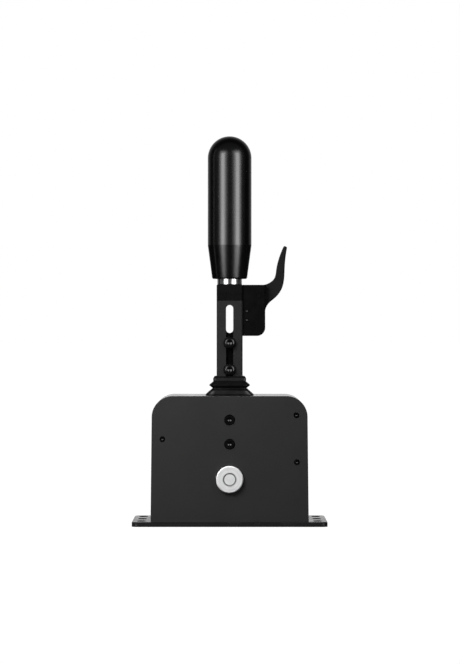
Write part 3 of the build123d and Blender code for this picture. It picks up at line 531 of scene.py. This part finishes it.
bright_turned = finish("bright_turned_aluminium", colour=(0.97, 0.97, 0.98), roughness=0.19, metallic=1.0)
add_patches(bright_turned, size=4 * mm, shade=0.02, dull=0.03)
coat(bright_turned, "knob_collar")


# Knob: turned from aluminium bar, with a domed top and a foot that tapers to the collar.
# Its black anodising is satin smooth and shows the lights beside it as long soft bands.

knob_satin = finish("knob_satin_black", colour=0.0003, roughness=0.22, specular=1.0)
knob_shader = knob_satin.node_tree.nodes["Principled BSDF"]
knob_shader.inputs["Coat Weight"].default_value = 0.5
knob_shader.inputs["Coat Roughness"].default_value = 0.15
add_patches(knob_satin, size=12 * mm, shade=0.1, dull=0.02)
add_grain(knob_satin, size=0.6 * mm, height=0.0003 * mm)
coat(knob_satin, "shift_knob")


# Trigger box: two aluminium halves, blasted like fine sand and anodised as deep a black as the head.
# Small black screws hold them together, and the blackened pin of the trigger goes through both.

box_black = finish("box_anodised_black", colour=0.0028, roughness=0.3, specular=0.15)
add_patches(box_black, size=8 * mm, shade=0.12, dull=0.05)
add_grain(box_black, size=0.5 * mm, height=0.012 * mm)
coat(box_black, "trigger_housing", "trigger_cover")
coat(black_oxide, "switch_screws", "housing_screws", "trigger_pin")


# Trigger: a finger hook cut from aluminium plate with all its edges broken, anodised satin black.
# It turns on the blackened pin between the two halves of the box.

trigger_black = finish("trigger_black", colour=0.0108, roughness=0.4, specular=0.13)
add_patches(trigger_black, size=8 * mm, shade=0.12, dull=0.05)
add_grain(trigger_black, size=0.5 * mm, height=0.004 * mm)
coat(trigger_black, "trigger")


# Trigger spring: a small torsion spring of 0.8 mm wire, wound round the pin.
# It turns the trigger back when the finger lets go.

low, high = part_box("trigger_spring")
middle = (low + high) / 2
torsion_wire = 0.8 * mm
torsion = coil(
    "wound_trigger_spring",
    start=(middle.x, low.y, middle.z),
    along=(0, 1, 0),
    across=(1, 0, 0),
    length=high.y - low.y,
    turns=2.5,
    centre_r=(high.x - low.x) / 2 - torsion_wire / 2,
    wire_r=torsion_wire / 2,
)
torsion.data.materials.append(spring_steel)
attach(torsion, "stem")
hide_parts("trigger_spring")


# Switch in the box: a black moulded case with a red plunger, held by the two small screws.
# A thin blade of spring steel presses the plunger when the trigger is pulled.

case_black = finish("switch_case", colour=0.018, roughness=0.4)
add_patches(case_black, size=2 * mm, shade=0.1, dull=0.04)
coat(case_black, "trigger_switch")
plunger_red = finish("plunger_red", colour=(0.5, 0.02, 0.015), roughness=0.38)
add_patches(plunger_red, size=1 * mm, shade=0.08, dull=0.04)
coat(plunger_red, "switch_plunger")
coat(spring_steel, "switch_blade")


# Floor: a pale sweep under the part. The camera sees it white, with a tenth of the part's shadow;
# other rays meet it nearly black, so that it throws little light up onto the part.

floor_half, floor_drop = 30.0, 0.1 * mm
floor_level, floor_level_for_others, glow_share = 0.8, 0.03, 0.9
glow_from, glow_to, glow_near, glow_far = 0.3, 1.5, 1.07, 1.12
floor_mesh = bpy.data.meshes.new("floor")
floor_corners = [(-floor_half, -floor_half), (floor_half, -floor_half)]
floor_corners += [(floor_half, floor_half), (-floor_half, floor_half)]
floor_mesh.from_pydata([(x, y, -floor_drop) for x, y in floor_corners], [], [(0, 1, 2, 3)])
floor = bpy.data.objects.new("floor", floor_mesh)
bpy.context.scene.collection.objects.link(floor)
pale = finish("pale_floor", colour=floor_level, roughness=0.9, specular=0.1)
tree = pale.node_tree
seen = tree.nodes.new("ShaderNodeLightPath")
thrown = tree.nodes.new("ShaderNodeMix")
thrown.data_type = "RGBA"
thrown.inputs["A"].default_value = (*(floor_level_for_others,) * 3, 1)
thrown.inputs["B"].default_value = (*(floor_level,) * 3, 1)
tree.links.new(seen.outputs["Is Camera Ray"], thrown.inputs["Factor"])
tree.links.new(thrown.outputs["Result"], tree.nodes["Principled BSDF"].inputs["Base Color"])
weight = tree.nodes.new("ShaderNodeMath")
weight.operation = "MULTIPLY"
weight.inputs[1].default_value = glow_share
glow = tree.nodes.new("ShaderNodeEmission")
place = tree.nodes.new("ShaderNodeTexCoord")
distance = tree.nodes.new("ShaderNodeVectorMath")
distance.operation = "LENGTH"
sweep = tree.nodes.new("ShaderNodeMapRange")
sweep.interpolation_type = "SMOOTHSTEP"
sweep.inputs["From Min"].default_value = glow_from
sweep.inputs["From Max"].default_value = glow_to
sweep.inputs["To Min"].default_value = glow_near
sweep.inputs["To Max"].default_value = glow_far
tree.links.new(place.outputs["Object"], distance.inputs[0])
tree.links.new(distance.outputs["Value"], sweep.inputs["Value"])
tree.links.new(sweep.outputs["Result"], glow.inputs["Strength"])
join = tree.nodes.new("ShaderNodeMixShader")
tree.links.new(seen.outputs["Is Camera Ray"], weight.inputs[0])
tree.links.new(weight.outputs["Value"], join.inputs["Fac"])
tree.links.new(tree.nodes["Principled BSDF"].outputs["BSDF"], join.inputs[1])
tree.links.new(glow.outputs["Emission"], join.inputs[2])
tree.links.new(join.outputs["Shader"], tree.nodes["Material Output"].inputs["Surface"])
floor.data.materials.append(pale)


# World: white to the camera. Reflections meet a room that is dim in front and beside, and turns
# white straight behind; diffuse rays meet one even grey.

diffuse_level = 0.14
room_levels = [(0, 0.07), (0.4, 0.05), (0.52, 0.01), (0.72, 0.015)]
room_levels += [(0.8, 0.07), (0.87, 0.16), (0.96, 0.3), (1, 1)]
world = bpy.data.worlds.new("studio")
bpy.context.scene.world = world
world.use_nodes = True
tree = world.node_tree
tree.nodes.clear()
direction = tree.nodes.new("ShaderNodeTexCoord")
split = tree.nodes.new("ShaderNodeSeparateXYZ")
depth = tree.nodes.new("ShaderNodeMapRange")
depth.inputs["From Min"].default_value = -1
behind = tree.nodes.new("ShaderNodeValToRGB")
ramp_stops(behind, room_levels)
room = tree.nodes.new("ShaderNodeBackground")
soft = tree.nodes.new("ShaderNodeBackground")
white = tree.nodes.new("ShaderNodeBackground")
seen = tree.nodes.new("ShaderNodeLightPath")
fill = tree.nodes.new("ShaderNodeMixShader")
join = tree.nodes.new("ShaderNodeMixShader")
out = tree.nodes.new("ShaderNodeOutputWorld")
soft.inputs["Color"].default_value = (diffuse_level, diffuse_level, diffuse_level, 1)
white.inputs["Color"].default_value = (1, 1, 1, 1)
tree.links.new(direction.outputs["Generated"], split.inputs["Vector"])
tree.links.new(split.outputs["Y"], depth.inputs["Value"])
tree.links.new(depth.outputs["Result"], behind.inputs["Fac"])
tree.links.new(behind.outputs["Color"], room.inputs["Color"])
tree.links.new(seen.outputs["Is Camera Ray"], join.inputs["Fac"])
tree.links.new(seen.outputs["Is Diffuse Ray"], fill.inputs["Fac"])
tree.links.new(room.outputs["Background"], fill.inputs[1])
tree.links.new(soft.outputs["Background"], fill.inputs[2])
tree.links.new(fill.outputs["Shader"], join.inputs[1])
tree.links.new(white.outputs["Background"], join.inputs[2])
tree.links.new(join.outputs["Shader"], out.inputs["Surface"])


# Lamps: soft boxes in front, overhead, behind and on the right light the object. Three upright ones,
# each inside the last so that they fade to their edges, stand on either side of the camera with a low
# one at their feet; they and a strip far left show only as reflections.


def soft_box(name, place, aim, width, height, radiance, shows="diffuse"):
    """A rectangular lamp that faces the point aim; its power is pi times its area times radiance.
    It lights surfaces, or it only shows as a reflection in glossy ones."""
    data = bpy.data.lights.new(name, "AREA")
    data.shape = "RECTANGLE"
    data.size, data.size_y = width, height
    data.energy = np.pi * width * height * radiance
    lamp = bpy.data.objects.new(name, data)
    bpy.context.scene.collection.objects.link(lamp)
    lamp.location = place
    towards = Vector(aim) - Vector(place)
    lamp.rotation_euler = towards.to_track_quat("-Z", "Y").to_euler()
    lamp.visible_camera = False
    lamp.visible_diffuse = shows == "diffuse"
    lamp.visible_glossy = shows == "glossy"


def upright_box(name, start, stop, distance, low, high, radiance):
    """An upright lamp that spans the angles from start to stop, in degrees from the camera's side as
    seen from above, at a distance from the object's axis, between the heights low and high."""
    middle, half = np.radians(start + stop) / 2, np.radians(stop - start) / 2
    height, width = (low + high) / 2, 2 * distance * np.tan(half)
    place = (distance * np.sin(middle), -distance * np.cos(middle), height)
    soft_box(name, place, (0, 0, height), width, high - low, radiance, shows="glossy")


soft_box("key_box", place=(-0.27, -0.28, 0.42), aim=(0, 0, 0.1), width=0.24, height=0.24, radiance=19.6)
soft_box("fill_box", place=(0.6, -0.5, 0.9), aim=(0, 0, 0.1), width=0.5, height=0.5, radiance=3.0)
soft_box("rear_box", place=(-0.35, 1.1, 0.75), aim=(0, 0, 0.15), width=0.6, height=0.6, radiance=7.0)
soft_box("side_box", place=(1.1, 0.3, 0.45), aim=(0, 0, 0.15), width=0.5, height=0.5, radiance=5.0)
upright_box("left_wide", start=-57, stop=-12, distance=1.15, low=-0.1, high=1.15, radiance=0.42)
upright_box("left_middle", start=-51, stop=-20, distance=1.14, low=-0.1, high=0.95, radiance=1.0)
upright_box("left_core", start=-44, stop=-27, distance=1.13, low=-0.1, high=0.78, radiance=2.1)
upright_box("right_wide", start=15, stop=64, distance=1.15, low=-0.1, high=1.2, radiance=0.42)
upright_box("right_middle", start=24, stop=58, distance=1.14, low=-0.1, high=1.0, radiance=1.0)
upright_box("right_core", start=33, stop=51, distance=1.13, low=-0.1, high=0.82, radiance=2.1)
upright_box("left_low", start=-47, stop=-24, distance=1.12, low=-0.1, high=0.09, radiance=1.6)
upright_box("right_low", start=27, stop=55, distance=1.12, low=-0.1, high=0.09, radiance=1.6)
upright_box("left_strip", start=-93, stop=-89, distance=1.15, low=0.0, high=1.1, radiance=0.35)


# Camera: level with the middle of the stem, as far away as the photograph's perspective says.
# Its lens gives the object the size that it has in the photograph.

sensor_width, lens_length = 36.0, 126.93
camera_place, camera_turn = (0.0003, -1.956, 0.15995), (np.pi / 2, 0, 0)
camera_data = bpy.data.cameras.new("camera")
camera_data.sensor_width = sensor_width
camera_data.lens = lens_length
camera = bpy.data.objects.new("camera", camera_data)
bpy.context.scene.collection.objects.link(camera)
camera.location = camera_place
camera.rotation_euler = camera_turn
bpy.context.scene.camera = camera
bpy.context.scene.view_settings.view_transform = "Standard"
